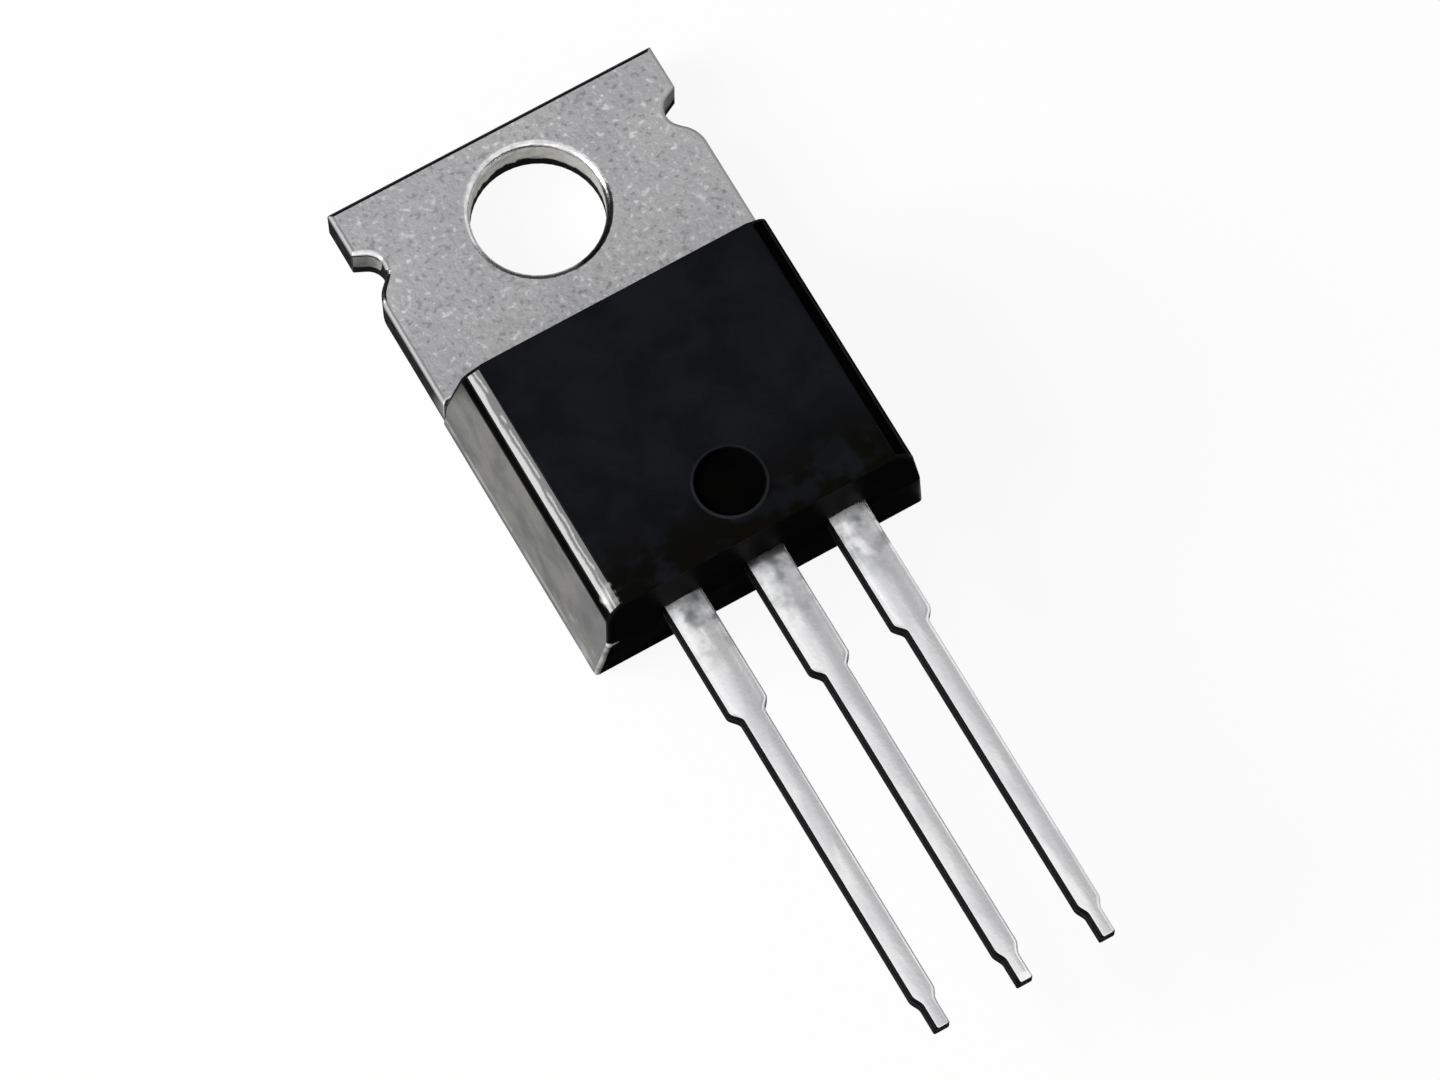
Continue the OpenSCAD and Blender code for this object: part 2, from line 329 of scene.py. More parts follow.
def sheared_metal():
    """Cut sides: burnished by the punch above and broken off dark below, a real fracture zone
    deepened by painted shade; sides that do not face the leads are painted dark over their whole
    height as shade, and the hole's lower zone is painted black.
    """
    material, tree, shader = new_material("sheared_side")
    at = place(tree)
    forward = maths(tree, "MULTIPLY", axes(tree, facing(tree))["Y"], -1.0)
    depth = maths(tree, "SUBTRACT", 1.0, maths(tree, "DIVIDE", axes(tree, at)["Z"], TAB_TOP / MM))
    waver = fade(tree, noise(tree, at, 3.0, 3.0), 0.3, 0.7, -0.06, 0.06)
    radius = vector_maths(tree, "LENGTH", flattened(tree, at))
    in_hole = fade(tree, radius, HOLE_MM + 0.1, HOLE_MM + 0.3, BURNISHED, 0.0)
    # Painted shade: sides that do not face the leads get no burnish and stay dark over their whole
    # height
    outside = fade(tree, forward, 0.0, 0.35, -0.1, BURNISHED)
    reach = maths(tree, "ADD", maths(tree, "MAXIMUM", in_hole, outside), waver)
    burnish = fade(tree, maths(tree, "SUBTRACT", reach, depth), -0.04, 0.04)
    grey = ramp(tree, noise(tree, at, 4.0), [
        (0.35, (0.50, 0.495, 0.465)), (0.65, (0.64, 0.63, 0.59))])
    torn_and_shaded = ramp(tree, noise(tree, place(tree, (1, 1, 0.4)), 5.0), [(0.35, 0.07), (0.65, 0.12)])
    on_rim = fade(tree, radius, HOLE_MM + 0.3, HOLE_MM + 0.6)
    # Below the burnish: painted black shade in the hole, and dark torn metal outside, partly its
    # own tone and partly painted shade
    broken = mix(tree, on_rim, (0.004, 0.004, 0.004), torn_and_shaded)
    tree.links.new(mix(tree, burnish, broken, grey), shader.inputs["Base Color"])
    tree.links.new(maths(tree, "MAXIMUM", burnish, on_rim), shader.inputs["Metallic"])
    matt = ramp(tree, noise(tree, at, 6.0), [(0.3, 0.62), (0.7, 0.5)])
    satin = ramp(tree, noise(tree, at, 6.0), [(0.3, 0.44), (0.7, 0.32)])
    rough = mix(tree, maths(tree, "SUBTRACT", on_rim, burnish), matt, satin)
    tree.links.new(rough, shader.inputs["Roughness"])
    shader.inputs["Specular IOR Level"].default_value = 0.01
    bump(tree, shader, noise(tree, place(tree, (4, 4, 0.6)), 3.0, 4.0), 0.01 * MM)
    return material


def cut_side():
    """Cut sides of the leads, greyer than their dipped faces, partly their own tone and partly
    painted shade, and painted black as shade where they curve up.
    """
    material, tree, shader = new_material("lead_side")
    at = place(tree)
    drawn = noise(tree, place(tree, (1, 1, 0.4)), 5.0)
    steel = ramp(tree, drawn, [(0.35, 0.08), (0.65, 0.14)])
    # Painted shade: where the cut sides and the left rim curve up they turn black and stop being
    # metal
    black = fade(tree, axes(tree, facing(tree))["Z"], 0.08, 0.25)
    tree.links.new(mix(tree, black, steel, (0.004, 0.004, 0.004)), shader.inputs["Base Color"])
    tree.links.new(maths(tree, "SUBTRACT", 1.0, black), shader.inputs["Metallic"])
    shader.inputs["Specular IOR Level"].default_value = 0.01
    rough = ramp(tree, noise(tree, at, 6.0), [(0.3, 0.4), (0.7, 0.28)])
    tree.links.new(rough, shader.inputs["Roughness"])
    bump(tree, shader, drawn, 0.008 * MM)
    return material


def lead_plating():
    """Hot-dipped tin, duller in patches by the body and rubbed matt on the right rims."""
    material, tree, shader = new_material("bright_tin_dip")
    at = place(tree)
    cloud = noise(tree, place(tree, (1.0, 0.3, 1.0)), 1.5, 4.0, 0.5, 0.3)
    fine = noise(tree, at, 7.0, 4.0, 0.6)
    near_exit = fade(tree, axes(tree, at)["Y"], PARTING_MM - 2.8, PARTING_MM - 0.2)
    patches = fade(tree, noise(tree, at, 2.0, 2.0, 0.5), 0.36, 0.7)
    dull = maths(tree, "MULTIPLY", near_exit, patches)
    base = ramp(tree, cloud, [
        (0.35, (0.74, 0.74, 0.76)), (0.5, (0.82, 0.82, 0.835)), (0.65, (0.9, 0.9, 0.905))])
    tree.links.new(mix(tree, dull, base, (0.22, 0.23, 0.24)), shader.inputs["Base Color"])
    shader.inputs["Metallic"].default_value = 1.0
    shine = fade(tree, cloud, 0.35, 0.65, 0.36, 0.24)
    rubbed = fade(tree, axes(tree, facing(tree))["X"], 0.6, 0.8, 0.0, 0.3)
    matt = maths(tree, "ADD", maths(tree, "MULTIPLY", dull, 0.2), rubbed)
    tree.links.new(maths(tree, "ADD", shine, matt), shader.inputs["Roughness"])
    bump(tree, shader, mix(tree, 0.15, cloud, fine), 0.025 * MM)
    return material


def scuffs_and_highlights(tree, at, dark, pale):
    """Pale patches near the front left corner, partly rubbed wear and partly painted highlight,
    with rubbed patches at random elsewhere, over a dark colour.
    """
    reach = 0.0
    for spot, size, strength, tall in SCUFFS_AND_HIGHLIGHTS:
        middle = (spot.x / MM, spot.y / MM, spot.z / tall / MM)
        gap = vector_maths(tree, "DISTANCE", place(tree, (1, 1, 1 / tall)), middle)
        reach = maths(tree, "MAXIMUM", fade(tree, gap, 0.2 * size, size, strength, 0.0), reach)
    rub = fade(tree, maths(tree, "ADD", noise(tree, at, 1.7, 2.5, 0.55), reach), 0.78, 1.04)
    return mix(tree, rub, dark, pale)


def resin(name, dark, light, roughness, specular, grain, pale=(0.14, 0.14, 0.135)):
    """Moulding compound of one finish, from a dark and a light shade."""
    material, tree, shader = new_material(name)
    at = place(tree)
    cloud = noise(tree, at, 0.7, 5.0, 0.6, 0.4)
    shade = ramp(tree, cloud, [(0.38, dark), (0.62, light)])
    tree.links.new(scuffs_and_highlights(tree, at, shade, pale), shader.inputs["Base Color"])
    uneven = fade(tree, cloud, 0.35, 0.65, roughness + 0.07, roughness - 0.07)
    tree.links.new(uneven, shader.inputs["Roughness"])
    shader.inputs["IOR"].default_value = 1.5
    shader.inputs["Specular IOR Level"].default_value = specular
    bump(tree, shader, noise(tree, at, 9.0, 4.0, 0.6), grain)
    return material, tree, shader


def resin_top():
    """The face for the marking, warmer in patches towards the leads."""
    material, tree, shader = resin(
        "moulding_top", (0.0035, 0.004, 0.0058), (0.0068, 0.0074, 0.010), 0.45, 0.06, 0.006 * MM)
    cool = shader.inputs["Base Color"].links[0].from_socket
    along = axes(tree, place(tree))["Y"]
    toward_front = fade(tree, along, PARTING_MM + 0.3, PARTING_MM + 3.5, 1.0, 0.0)
    patch = fade(tree, noise(tree, place(tree), 0.9, 3.0), 0.35, 0.52)
    warm = maths(tree, "MULTIPLY", toward_front, patch)
    tree.links.new(mix(tree, warm, cool, (0.0028, 0.0026, 0.0014)), shader.inputs["Base Color"])
    tree.links.new(fade(tree, warm, 0.0, 1.0, 0.055, 0.02), shader.inputs["Specular IOR Level"])
    even = fade(tree, noise(tree, place(tree), 2.5, 3.0), 0.35, 0.65, 0.48, 0.43)
    tree.links.new(even, shader.inputs["Roughness"])
    return material


def resin_wall():
    """Walls with a pale line near the foot, paler and rougher in blotches near the front, and black
    along the top.
    """
    material, tree, shader = resin(
        "moulding_wall", (0.008, 0.0095, 0.008), (0.022, 0.0195, 0.013), 0.3, 0.46, 0.004 * MM)
    height = axes(tree, place(tree))["Z"]
    base = shader.inputs["Base Color"].links[0].from_socket
    above, below = fade(tree, height, 0.26, 0.36), fade(tree, height, 0.58, 0.48)
    worn = fade(tree, noise(tree, place(tree), 1.2, 3.0), 0.36, 0.5, 0.25, 1.0)
    line = maths(tree, "MULTIPLY", maths(tree, "MULTIPLY", above, below), worn)
    lined = mix(tree, line, base, (0.11, 0.115, 0.11))
    near_front = fade(tree, axes(tree, place(tree))["Y"], PARTING_MM + 3.2, PARTING_MM + 0.8)
    blotch = fade(tree, noise(tree, place(tree), 0.8, 2.5), 0.44, 0.56)
    pale_front_patch = maths(tree, "MULTIPLY", near_front, blotch)
    with_front_patches = mix(tree, maths(tree, "MULTIPLY", pale_front_patch, 0.8), lined, (0.055, 0.052, 0.055))
    tree.links.new(with_front_patches, shader.inputs["Base Color"])
    even = shader.inputs["Roughness"].links[0].from_socket
    rough = maths(tree, "ADD", even, maths(tree, "MULTIPLY", pale_front_patch, 0.14))
    tree.links.new(rough, shader.inputs["Roughness"])
    level = fade(tree, height, WALL_TOP_MM - 0.12, WALL_TOP_MM - 0.04, 0.45, 0.02)
    tree.links.new(level, shader.inputs["Specular IOR Level"])
    return material


def resin_strip():
    """The flat bevel along the left side, polished in two lines by the mould."""
    material, tree, shader = resin(
        "moulding_bevel", (0.005, 0.005, 0.005), (0.011, 0.011, 0.010), 0.3, 0.5, 0.004 * MM,
        (0.2, 0.2, 0.19))
    x = maths(tree, "ABSOLUTE", axes(tree, place(tree))["X"])
    uneven = noise(tree, place(tree, (1.0, 0.6, 1.0)), 1.9, 4.0, 0.6)
    waver = fade(tree, uneven, 0.3, 0.7, -0.11, 0.11)
    across = maths(tree, "ADD", fade(tree, x, STRIP_OUTER_MM, STRIP_INNER_MM), waver)
    lines = ramp(tree, across, [
        (0.24, 0.27), (0.4, 0.54), (0.54, 0.54), (0.66, 0.28), (0.82, 0.56)])
    broken = fade(tree, noise(tree, place(tree), 1.7, 3.0), 0.48, 0.6)
    inner = fade(tree, across, 0.45, 0.55)
    dull = mix(tree, maths(tree, "MULTIPLY", inner, broken), lines, (0.55, 0.55, 0.55))
    tree.links.new(dull, shader.inputs["Roughness"])
    return material


def resin_edge():
    """Edges of the moulding, rubbed pale in small places, and pale at the front left corner's foot,
    partly wear and partly a painted highlight.
    """
    material, tree, shader = resin(
        "moulding_edge", (0.0012, 0.0012, 0.0012), (0.003, 0.003, 0.0026), 0.45, 0.03, 0.006 * MM,
        (0.5, 0.5, 0.48))
    base = shader.inputs["Base Color"].links[0].from_socket
    rub = fade(tree, noise(tree, place(tree), 3.5, 4.0, 0.7), 0.62, 0.78, 0.0, 0.2)
    rubbed = mix(tree, rub, base, (0.10, 0.10, 0.095))
    at = axes(tree, place(tree))
    # Front left corner's foot: a pale band, partly wear and partly a painted highlight
    left = fade(tree, at["X"], BODY_LOW.x / MM + 0.4, BODY_LOW.x / MM + 0.25)
    front = fade(tree, at["Y"], PARTING_MM + 0.9, PARTING_MM + 0.5)
    foot = fade(tree, at["Z"], LEAD_LOW_MM, LEAD_LOW_MM - 0.2)
    uneven = fade(tree, noise(tree, place(tree), 1.5, 3.0), 0.3, 0.6, 0.45, 1.0)
    upright = maths(tree, "MULTIPLY", left, front)
    corner = maths(tree, "MULTIPLY", upright, maths(tree, "MULTIPLY", foot, uneven))
    tree.links.new(mix(tree, corner, rubbed, (0.27, 0.27, 0.26)), shader.inputs["Base Color"])
    return material


def resin_dark():
    """The steep bevels, the right side's flat bevel and the mark, which show black: a darker,
    barely glossy copy of the resin, painted shade on the bevels.
    """
    return resin(
        "moulding_dark", (0.0007, 0.0007, 0.0008), (0.0014, 0.0014, 0.0012),
        0.7, 0.005, 0.01 * MM)[0]


def resin_lip():
    """The smoother lip around the mark."""
    return resin(
        "moulding_lip", (0.003, 0.0035, 0.005), (0.006, 0.0065, 0.009),
        0.3, 0.22, 0.004 * MM)[0]


def resin_front():
    """The end that the leads come out of: a darker, barely glossy copy of the resin, as painted
    shade.
    """
    return resin(
        "moulding_front", (0.001, 0.001, 0.0012), (0.003, 0.003, 0.0032),
        0.45, 0.02, 0.006 * MM)[0]


def plain_inside(name, colour, metallic, roughness, scale):
    """A sealed inner piece, with a faint grain."""
    material, tree, shader = new_material(name)
    grain = noise(tree, place(tree), scale)
    bright = tuple(min(1.0, c * 1.15) for c in colour)
    tree.links.new(ramp(tree, grain, [(0.3, colour), (0.7, bright)]), shader.inputs["Base Color"])
    shader.inputs["Metallic"].default_value = metallic
    rough = ramp(tree, grain, [(0.3, roughness), (0.7, roughness * 0.8)])
    tree.links.new(rough, shader.inputs["Roughness"])
    return material


TAB_MATERIALS = [lead_plating(), cut_side(), sheared_metal(), tab_plating(), rolled_edge()]
DIP, SIDE, SHEARED, PLATING, ROLLED = range(5)
BODY_MATERIALS = [
    resin_top(), resin_wall(), resin_strip(), resin_dark(),
    resin_edge(), resin_lip(), resin_front()]
TOP, WALL, STRIP, DARK, EDGE, LIP, FRONT = range(7)


# Mesh helpers
def clean_mesh(node):
    """A node's mesh with its seams welded and its flat faces whole."""
    source = frame["nodes"][node].data
    bm = bmesh.new()
    corners = [bm.verts.new(v.co) for v in source.vertices]
    for face in source.polygons:
        bm.faces.new([corners[i] for i in face.vertices])
    bmesh.ops.remove_doubles(bm, verts=bm.verts, dist=SAME_PLACE)
    bmesh.ops.dissolve_limit(
        bm, angle_limit=math.radians(SAME_SLOPE), verts=bm.verts, edges=bm.edges)
    bm.normal_update()
    return bm


def keep_behind(bm, y):
    """Cuts off what lies in front of the plane at y and closes the cut."""
    everything = bm.verts[:] + bm.edges[:] + bm.faces[:]
    cut = bmesh.ops.bisect_plane(
        bm, geom=everything, plane_co=(0, y, 0), plane_no=(0, -1, 0), clear_outer=True)
    rim = [e for e in cut["geom_cut"] if isinstance(e, bmesh.types.BMEdge)]
    bmesh.ops.edgeloop_fill(bm, edges=rim)


def to_object(bm, name, materials):
    """A smooth-shaded object of the mesh, in the scene."""
    mesh = bpy.data.meshes.new(name)
    bm.to_mesh(mesh)
    bm.free()
    mesh.shade_smooth()
    piece = bpy.data.objects.new(name, mesh)
    bpy.context.scene.collection.objects.link(piece)
    for material in materials:
        mesh.materials.append(material)
    return piece


def round_edges(piece, width, segments, material):
    """Bevels the weighted edges, and keeps the flat faces' shading flat."""
    bevel = piece.modifiers.new("rounded_edges", "BEVEL")
    bevel.limit_method = "WEIGHT"
    bevel.width = width
    bevel.segments = segments
    bevel.material = material
    bevel.use_clamp_overlap = False
    shading = piece.modifiers.new("flat_faces_stay_flat", "WEIGHTED_NORMAL")
    shading.keep_sharp = True
    shading.weight = FLAT_FACE_WEIGHT


def weigh_edges(bm, rule):
    """Gives each edge the bevel weight that the rule returns for it."""
    layer = bm.edges.layers.float.new("bevel_weight_edge")
    for edge in bm.edges:
        if len(edge.link_faces) == 2:
            edge[layer] = rule(edge, math.degrees(edge.calc_face_angle(0.0)))


def stands_for(piece, node):
    """Puts a piece in a node's place: attaches it to the root body and hides the node."""
    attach(piece, "root")
    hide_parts(node)


# Leads
def eased(a, b, t):
    """Goes smoothly from a to b while t goes from 0 to 1."""
    t = min(max(t, 0.0), 1.0)
    return a + (b - a) * (0.5 - 0.5 * math.cos(math.pi * t))


def lead_half_width(y):
    if y > PINCH_Y:
        return eased(LEAD_ROOT_WIDTH, LEAD_WIDTH, (SHOULDER_Y - y) / SHOULDER_LENGTH) / 2
    return eased(LEAD_WIDTH, LEAD_TIP_WIDTH, (PINCH_Y - y) / SHOULDER_LENGTH) / 2


def lead_section(half_width, shrink=0.0):
    """Right half of a lead's section from its top's middle to its bottom's, as (x, z, part)."""
    low, high = LEAD_LOW.z + shrink, LEAD_HIGH.z - shrink
    w, r, b = half_width - shrink, LEAD_EDGE_RADIUS, LEAD_BURR_RADIUS
    flat = w - r
    across = [flat * i / LEAD_TOP_STEPS for i in range(LEAD_TOP_STEPS)]
    points = [(px, high - LEAD_CURVATURE * px ** 2, "top") for px in across]
    drop = LEAD_CURVATURE * flat ** 2
    for i in range(LEAD_EDGE_STEPS + 1):
        a = math.radians(90 - 90 * i / LEAD_EDGE_STEPS)
        part = "rim" if 0 < i < LEAD_EDGE_STEPS else "side" if i else "top"
        points.append((flat + r * math.cos(a), high - drop - r + r * math.sin(a), part))
    for i in range(LEAD_BURR_STEPS + 1):
        a = math.radians(-90 * i / LEAD_BURR_STEPS)
        part = "side" if i < LEAD_BURR_STEPS else "bottom"
        points.append((w - b + b * math.cos(a), low + b + b * math.sin(a), part))
    points.append((0.0, low, "bottom"))
    return points


def lead_stations():
    """Places along a lead, close together where its width changes."""
    last = TIP_Y + LEAD_BURR_RADIUS
    starts = [PARTING_Y + LEAD_OVERLAP, SHOULDER_Y, SHOULDER_Y - SHOULDER_LENGTH,
              PINCH_Y, TIP_Y + LEAD_TIP_LENGTH]
    places = []
    for y, end, steps in zip(starts, starts[1:] + [last], LEAD_STEPS):
        places += [y + (end - y) * i / steps for i in range(steps)]
    return places + [last]


def add_lead(bm, x):
    """Lofts the outer lead at x, with its cut sides dark, partly as painted shade, and the left rim
    with them, painted black as shade where it curves up.
    """
    rings = [(y, lead_section(lead_half_width(y))) for y in lead_stations()]
    rings.append((TIP_Y, lead_section(lead_half_width(TIP_Y), LEAD_BURR_RADIUS)))
    loops = []
    for y, half in rings:
        # The left rim takes the cut sides' material, so it is painted black as shade where it
        # curves up
        left = [(-px, pz, "side" if part == "rim" else part)
                for px, pz, part in reversed(half[1:-1])]
        loops.append([(bm.verts.new((x + px, y, pz)), part) for px, pz, part in half + left])
    count = len(loops[0])
    for near, far in zip(loops, loops[1:]):
        for i in range(count):
            j = (i + 1) % count
            face = bm.faces.new((near[i][0], near[j][0], far[j][0], far[i][0]))
            face.material_index = SIDE if near[i][1] == near[j][1] == "side" else DIP
    bm.faces.new([v for v, _ in reversed(loops[0])])
    cap = bm.faces.new([v for v, _ in loops[-1]])
    cap.material_index = SIDE


def outer_lead(node, x):
    bm = clean_mesh(node)
    keep_behind(bm, PARTING_Y + LEAD_OVERLAP)
    add_lead(bm, x)
    bmesh.ops.recalc_face_normals(bm, faces=bm.faces)
    piece = to_object(bm, node + "_plated", [TAB_MATERIALS[DIP], TAB_MATERIALS[SIDE]])
    piece.data.set_sharp_from_angle(angle=math.radians(LEAD_SHARP_TURN))
    stands_for(piece, node)


# Tab with its collector lead
def tab_edge_weight(edge, turn):
    """Full in the hole, less around the tab, least underneath and none inside the body."""
    nearest = min(v.co.y for v in edge.verts)
    if turn < TAB_SHARP_TURN or nearest < BODY_HIGH.y - TAB_RIM - SAME_PLACE:
        return 0.0
    if min(v.co.z for v in edge.verts) < TAB_TOP - SAME_PLACE:
        return TAB_BURR / HOLE_RIM
    in_hole = max(v.co.xy.length for v in edge.verts) < HOLE_RADIUS + SAME_PLACE
    return 1.0 if in_hole else TAB_RIM / HOLE_RIM


def square_hole(bm):
    """Takes the chamfer off the screw hole, so that its edge can be rolled instead."""
    def ring(radius, z):
        return [v for v in bm.verts
                if abs(v.co.xy.length - radius) < SAME_PLACE and abs(v.co.z - z) < SAME_PLACE]

    lower = ring(HOLE_RADIUS, TAB_TOP - HOLE_CHAMFER)
    for v in ring(HOLE_RADIUS + HOLE_CHAMFER, TAB_TOP):
        v.co.xy = min(lower, key=lambda w: (w.co.xy - v.co.xy).length).co.xy
    for v in lower:
        v.co.z = TAB_TOP
    bmesh.ops.remove_doubles(bm, verts=bm.verts, dist=SAME_PLACE)
    bmesh.ops.dissolve_degenerate(bm, edges=bm.edges, dist=SAME_PLACE)


def round_mouths(bm):
    """Rounds each notch's corner nearer the body, as the punch leaves it."""
    corners = []
    for edge in bm.edges:
        a, b = (v.co for v in edge.verts)
        upright = abs(a.z - b.z) > SAME_PLACE
        at_side = min(abs(a.x), abs(b.x)) > BODY_HIGH.x - NOTCH_MOUTH_REACH_X
        if upright and at_side and abs(a.y) < NOTCH_MOUTH_REACH_Y:
            corners.append(edge)
    bmesh.ops.bevel(bm, geom=corners, offset=NOTCH_MOUTH, segments=NOTCH_MOUTH_STEPS,
                    profile=0.5, affect="EDGES")


def heat_sink():
    bm = clean_mesh("heat_sink")
    keep_behind(bm, PARTING_Y + LEAD_OVERLAP)
    square_hole(bm)
    round_mouths(bm)
    everything = bm.verts[:] + bm.edges[:] + bm.faces[:]
    bmesh.ops.bisect_plane(
        bm, geom=everything, plane_co=(0, BODY_HIGH.y - TAB_RIM, 0), plane_no=(0, 1, 0))
    bm.normal_update()
    for face in bm.faces:
        cut = abs(face.normal.z) < UPRIGHT_FACE and face.calc_center_median().y > BODY_HIGH.y
        face.material_index = SHEARED if cut else PLATING
    weigh_edges(bm, tab_edge_weight)
    add_lead(bm, 0.0)
    bmesh.ops.recalc_face_normals(bm, faces=bm.faces)
    piece = to_object(bm, "heat_sink_plated", TAB_MATERIALS)
    round_edges(piece, HOLE_RIM, HOLE_RIM_STEPS, ROLLED)
    stands_for(piece, "heat_sink")


# Moulded body
def near_mark(*places):
    """Whether all the places are on the sunken mark or its lip."""
    return all(p.z > MARK_DEEPEST and (p.xy - MARK_MIDDLE.xy).length < MARK_REACH for p in places)


def body_edge_weight(edge, turn):
    """Full for upright corners, small elsewhere and none where the tab lies against an edge."""
    a, b = (v.co for v in edge.verts)
    by_tab = min(a.y, b.y) > BODY_HIGH.y - SAME_PLACE and max(a.z, b.z) < TAB_TOP + SAME_PLACE
    corner = min(abs(a.x), abs(b.x)) > BODY_HIGH.x - BODY_CORNER_REACH
    if turn < BODY_SHARP_TURN or near_mark(a, b) or by_tab and not corner:
        return 0.0
    run = (b - a).normalized()
    outer = min(abs(a.x), abs(b.x)) > BODY_HIGH.x - BODY_SIDE_REACH
    if outer and abs(run.z) > UPRIGHT_EDGE:
        return 1.0
    foot = outer and max(a.z, b.z) < SAME_PLACE
    return (BODY_FOOT_EDGE if foot else BODY_EDGE) / BODY_CORNER


def body_face_material(face):
    """Which finish a face of the body has, by where it is and how steep; the front, the steep
    bevels and the right flat bevel take darker, barely glossy copies of the resin as painted shade.
    """
    n = face.normal
    middle = face.calc_center_median()
    if near_mark(*(v.co for v in face.verts)):
        return LIP if middle.z > MARK_RIM_Z and n.z < LEVEL_IN_MARK else DARK
    if n.z > LEVEL:
        return TOP
    if n.y < -FACES_LEADS:
        return FRONT
    # Painted shade: the steep bevels take the black copy
    if STEEP_BEVEL[0] < abs(n.x) < STEEP_BEVEL[1]:
        return DARK
    # The left flat bevel takes the polished strip, the right one the black copy as painted shade
    if FLAT_BEVEL[0] < abs(n.x) < FLAT_BEVEL[1] and middle.z > TAB_TOP:
        return STRIP if n.x < 0 else DARK
    return WALL


def moulded_body():
    bm = clean_mesh("moulded_body")
    for face in bm.faces:
        face.material_index = body_face_material(face)
    weigh_edges(bm, body_edge_weight)
    piece = to_object(bm, "moulded_body_finished", BODY_MATERIALS)
    round_edges(piece, BODY_CORNER, BODY_CORNER_STEPS, EDGE)
    stands_for(piece, "moulded_body")


def dress_inside():
    """Materials of the sealed pieces, which keep their own meshes."""
    silicon = plain_inside("silicon", (0.3, 0.31, 0.35), 0.8, 0.2, 2.0)
    solder = plain_inside("die_solder", (0.5, 0.5, 0.52), 1.0, 0.5, 8.0)
    wire = plain_inside("aluminium_wire", (0.78, 0.78, 0.8), 1.0, 0.3, 12.0)
    inside = {"die": silicon, "die_solder": solder, "base_wire": wire, "emitter_wire": wire}
    for node, material in inside.items():
        piece = frame["nodes"][node]
        piece.data.materials.clear()
        piece.data.materials.append(material)


# Floor, lights and camera
FLOOR_SIZE = 1.2
FLOOR_DROP = 0.002 * MM
FLOOR_COLOUR = (0.9, 0.9, 0.9)
FLOOR_WHITENING = 0.93
# Painted brightness of the floor in reflections: far away, beside the body, in the hole, and close
# to the part as painted shade; then the distances over which it changes
FLOOR_MIRRORED_FAR = 0.95
FLOOR_MIRRORED_BY_BODY = 0.87
FLOOR_MIRRORED_IN_HOLE = 0.55
FLOOR_MIRRORED_CLOSE = 0.02
FLOOR_CLOSE_MM = 2.5
FLOOR_FAR_MM = 7.0
AMBIENT = 0.12
SOFTBOX_DISTANCE = 0.6

# Softboxes as azimuth, elevation, width and height in degrees, and radiance
KEY = (-110, 25, 34, 32, 18.0)
FRONT_FILL = (-30, 40, 50, 30, 0.4)

# Fades of the reflected world, as low, high, start and end
DARK_BACK = (0.34, 0.5, 1.0, 0.04)
DARK_SPOT_TOWARD = Vector((0.47, 0.3, 0.83))
DARK_SPOT = (0.94, 0.985, 1.0, 0.52)


def distance_outside(tree, low, high):
    """Millimetres that a point is outside the box from low to high, seen from above."""
    at = axes(tree, place(tree))
    gaps = []
    for name, a, b in (("X", low.x, high.x), ("Y", low.y, high.y)):
        offset = maths(tree, "ABSOLUTE", maths(tree, "SUBTRACT", at[name], (a + b) / 2 / MM))
        gaps.append(maths(tree, "SUBTRACT", offset, (b - a) / 2 / MM))
    return maths(tree, "MAXIMUM", *gaps)


def mirrored_floor(tree):
    """How bright the floor shows in gloss, painted rather than lit: dark close to the tab and leads
    as painted shade, dimmer in the hole as painted shadow, and pale beside the body and far away.
    """
    flat = place(tree)
    along = axes(tree, flat)["Y"]
    across = maths(tree, "ABSOLUTE", axes(tree, flat)["X"])
    low, high, side = BODY_LOW.y / MM, BODY_HIGH.y / MM, BODY_HIGH.x / MM
    from_front = fade(tree, along, low - 0.5, low + 0.3, 0.0, FLOOR_MIRRORED_BY_BODY)
    to_back = fade(tree, along, high + 1.0, high + 0.3)
    beside = fade(tree, across, side - 0.1, side + 0.1)
    by_body = maths(tree, "MULTIPLY", maths(tree, "MULTIPLY", from_front, to_back), beside)
    radius = vector_maths(tree, "LENGTH", flat)
    in_hole = fade(tree, radius, HOLE_MM + 0.1, HOLE_MM - 0.1, 0.0, FLOOR_MIRRORED_IN_HOLE)
    far = fade(tree, distance_outside(tree, *cad_box), FLOOR_CLOSE_MM, FLOOR_FAR_MM,
               FLOOR_MIRRORED_CLOSE, FLOOR_MIRRORED_FAR)
    return maths(tree, "MAXIMUM", far, maths(tree, "MAXIMUM", by_body, in_hole))


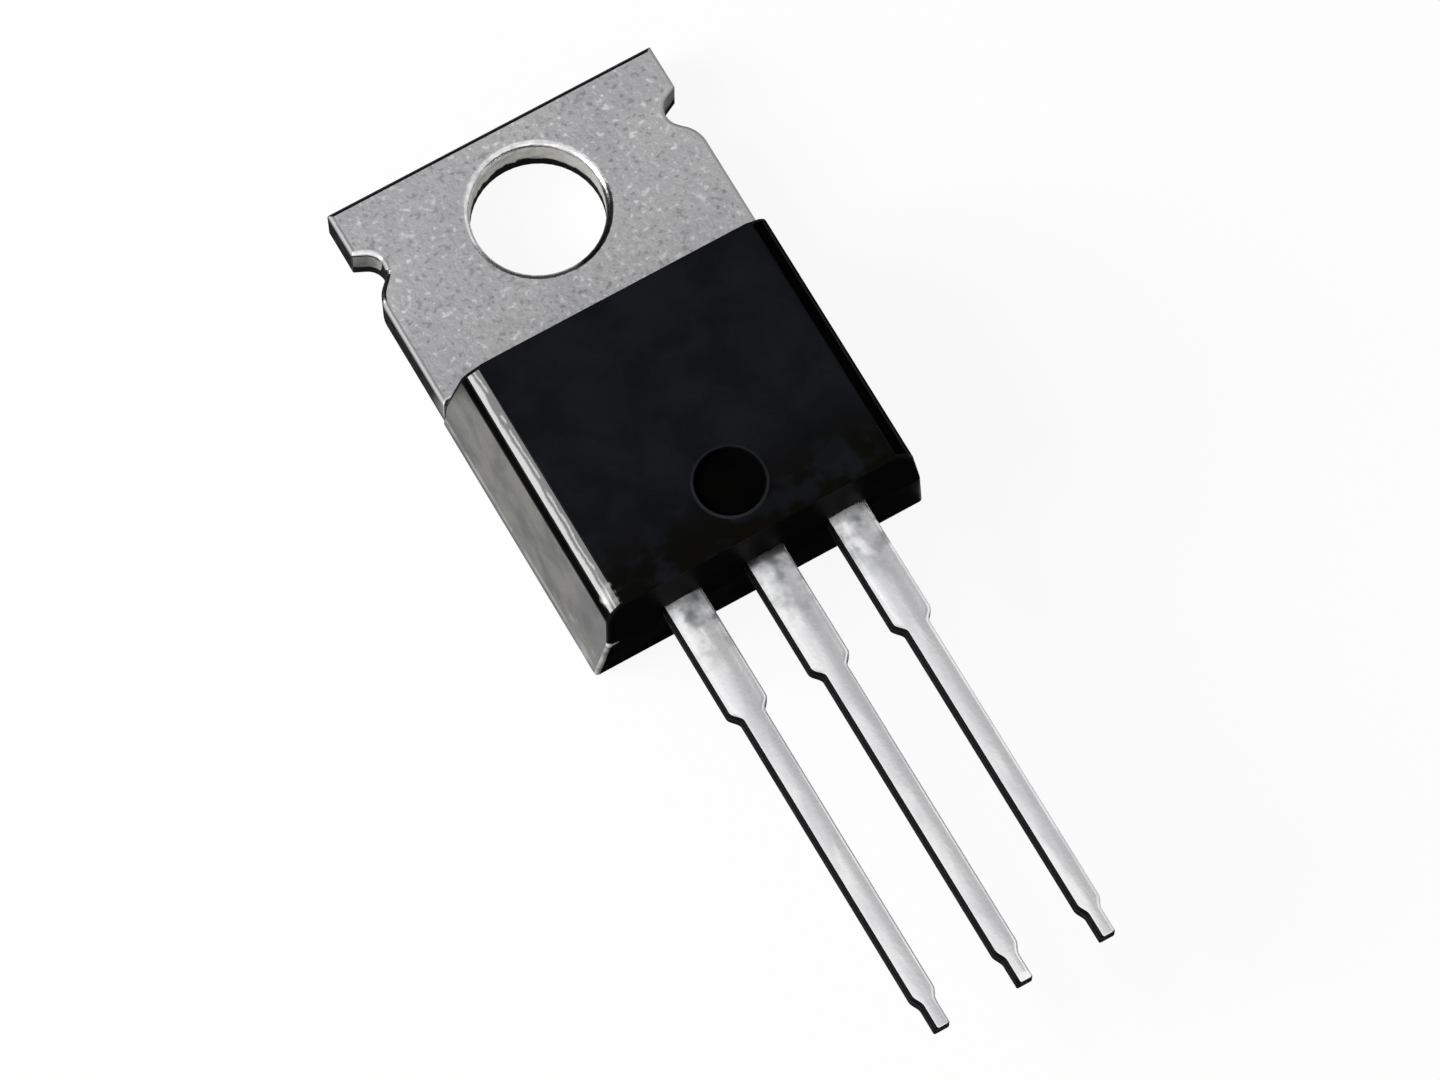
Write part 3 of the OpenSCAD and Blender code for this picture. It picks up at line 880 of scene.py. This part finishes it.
def add_floor():
    bm = bmesh.new()
    bmesh.ops.create_grid(bm, x_segments=1, y_segments=1, size=FLOOR_SIZE / 2)
    material, tree, shader = new_material("pale_floor")
    shader.inputs["Base Color"].default_value = (*FLOOR_COLOUR, 1)
    shader.inputs["Roughness"].default_value = 1.0
    shader.inputs["Specular IOR Level"].default_value = 0.0
    white = tree.nodes.new("ShaderNodeEmission")
    rays = tree.nodes.new("ShaderNodeLightPath").outputs
    blend = tree.nodes.new("ShaderNodeMixShader")
    seen = maths(tree, "MAXIMUM", rays["Is Camera Ray"], rays["Is Transmission Ray"])
    # Reflections see the painted floor brightness, with its painted shade near the part, in place
    # of the lit floor
    mirrored = maths(tree, "MULTIPLY", rays["Is Glossy Ray"], mirrored_floor(tree))
    tree.links.new(maths(tree, "MAXIMUM", seen, mirrored), white.inputs["Strength"])
    whitened = maths(tree, "MULTIPLY", seen, FLOOR_WHITENING)
    share = maths(tree, "MAXIMUM", whitened, rays["Is Glossy Ray"])
    tree.links.new(share, blend.inputs["Fac"])
    tree.links.new(shader.outputs["BSDF"], blend.inputs[1])
    tree.links.new(white.outputs["Emission"], blend.inputs[2])
    output = next(n for n in tree.nodes if n.type == "OUTPUT_MATERIAL")
    tree.links.new(blend.outputs["Shader"], output.inputs["Surface"])
    floor = to_object(bm, "floor", [material])
    floor.location.z = -FLOOR_DROP


def add_softbox(name, azimuth, elevation, width, height, radiance):
    """A soft area light that fills the given angles, seen from the object."""
    light = bpy.data.lights.new(name, "AREA")
    light.shape = "RECTANGLE"
    light.size = 2 * SOFTBOX_DISTANCE * math.tan(math.radians(width / 2))
    light.size_y = 2 * SOFTBOX_DISTANCE * math.tan(math.radians(height / 2))
    light.energy = radiance * math.pi * light.size * light.size_y
    lamp = bpy.data.objects.new(name, light)
    bpy.context.scene.collection.objects.link(lamp)
    toward = direction(azimuth, elevation)
    middle = (BODY_LOW + BODY_HIGH) / 2
    lamp.location = middle + toward * SOFTBOX_DISTANCE
    lamp.rotation_mode = "QUATERNION"
    lamp.rotation_quaternion = toward.to_track_quat("Z", "Y")
    lamp.visible_camera = False


def add_world():
    """White to the camera, and in reflections white with a dark back and a dark spot above."""
    world = bpy.data.worlds.new("studio")
    bpy.context.scene.world = world
    world.use_nodes = True
    tree = world.node_tree
    tree.nodes.clear()
    output = tree.nodes.new("ShaderNodeOutputWorld")
    rays = tree.nodes.new("ShaderNodeLightPath").outputs
    around = tree.nodes.new("ShaderNodeTexCoord").outputs["Generated"]
    back = fade(tree, axes(tree, around)["Y"], *DARK_BACK)
    angle = vector_maths(tree, "DOT_PRODUCT", around, DARK_SPOT_TOWARD.normalized())
    spot = fade(tree, angle, *DARK_SPOT)
    mirrored = maths(tree, "MULTIPLY", rays["Is Glossy Ray"], maths(tree, "MULTIPLY", back, spot))
    white = maths(tree, "MAXIMUM", rays["Is Camera Ray"], rays["Is Transmission Ray"])
    seen = maths(tree, "MAXIMUM", white, mirrored)
    sky = tree.nodes.new("ShaderNodeBackground")
    sky.inputs["Color"].default_value = (1, 1, 1, 1)
    ambient = maths(tree, "MULTIPLY", rays["Is Diffuse Ray"], AMBIENT)
    tree.links.new(maths(tree, "MAXIMUM", seen, ambient), sky.inputs["Strength"])
    tree.links.new(sky.outputs["Background"], output.inputs["Surface"])


def add_camera():
    data = bpy.data.cameras.new("camera")
    data.sensor_width = SENSOR_WIDTH
    data.lens = FOCAL_PIXELS * SENSOR_WIDTH / PHOTO_WIDTH
    data.clip_start, data.clip_end = CLIP_START, CLIP_END
    camera = bpy.data.objects.new("camera", data)
    bpy.context.scene.collection.objects.link(camera)
    back = direction(CAMERA_AZIMUTH, CAMERA_ELEVATION)
    camera.location = CAMERA_TARGET + back * CAMERA_DISTANCE
    camera.rotation_mode = "QUATERNION"
    camera.rotation_quaternion = (-back).to_track_quat("-Z", "Y")
    bpy.context.scene.camera = camera


bpy.context.scene.view_settings.view_transform = "Standard"
moulded_body()
heat_sink()
outer_lead("base_lead", -LEAD_PITCH)
outer_lead("emitter_lead", LEAD_PITCH)
dress_inside()
add_floor()
add_softbox("key", *KEY)
add_softbox("front_fill", *FRONT_FILL)
add_world()
add_camera()
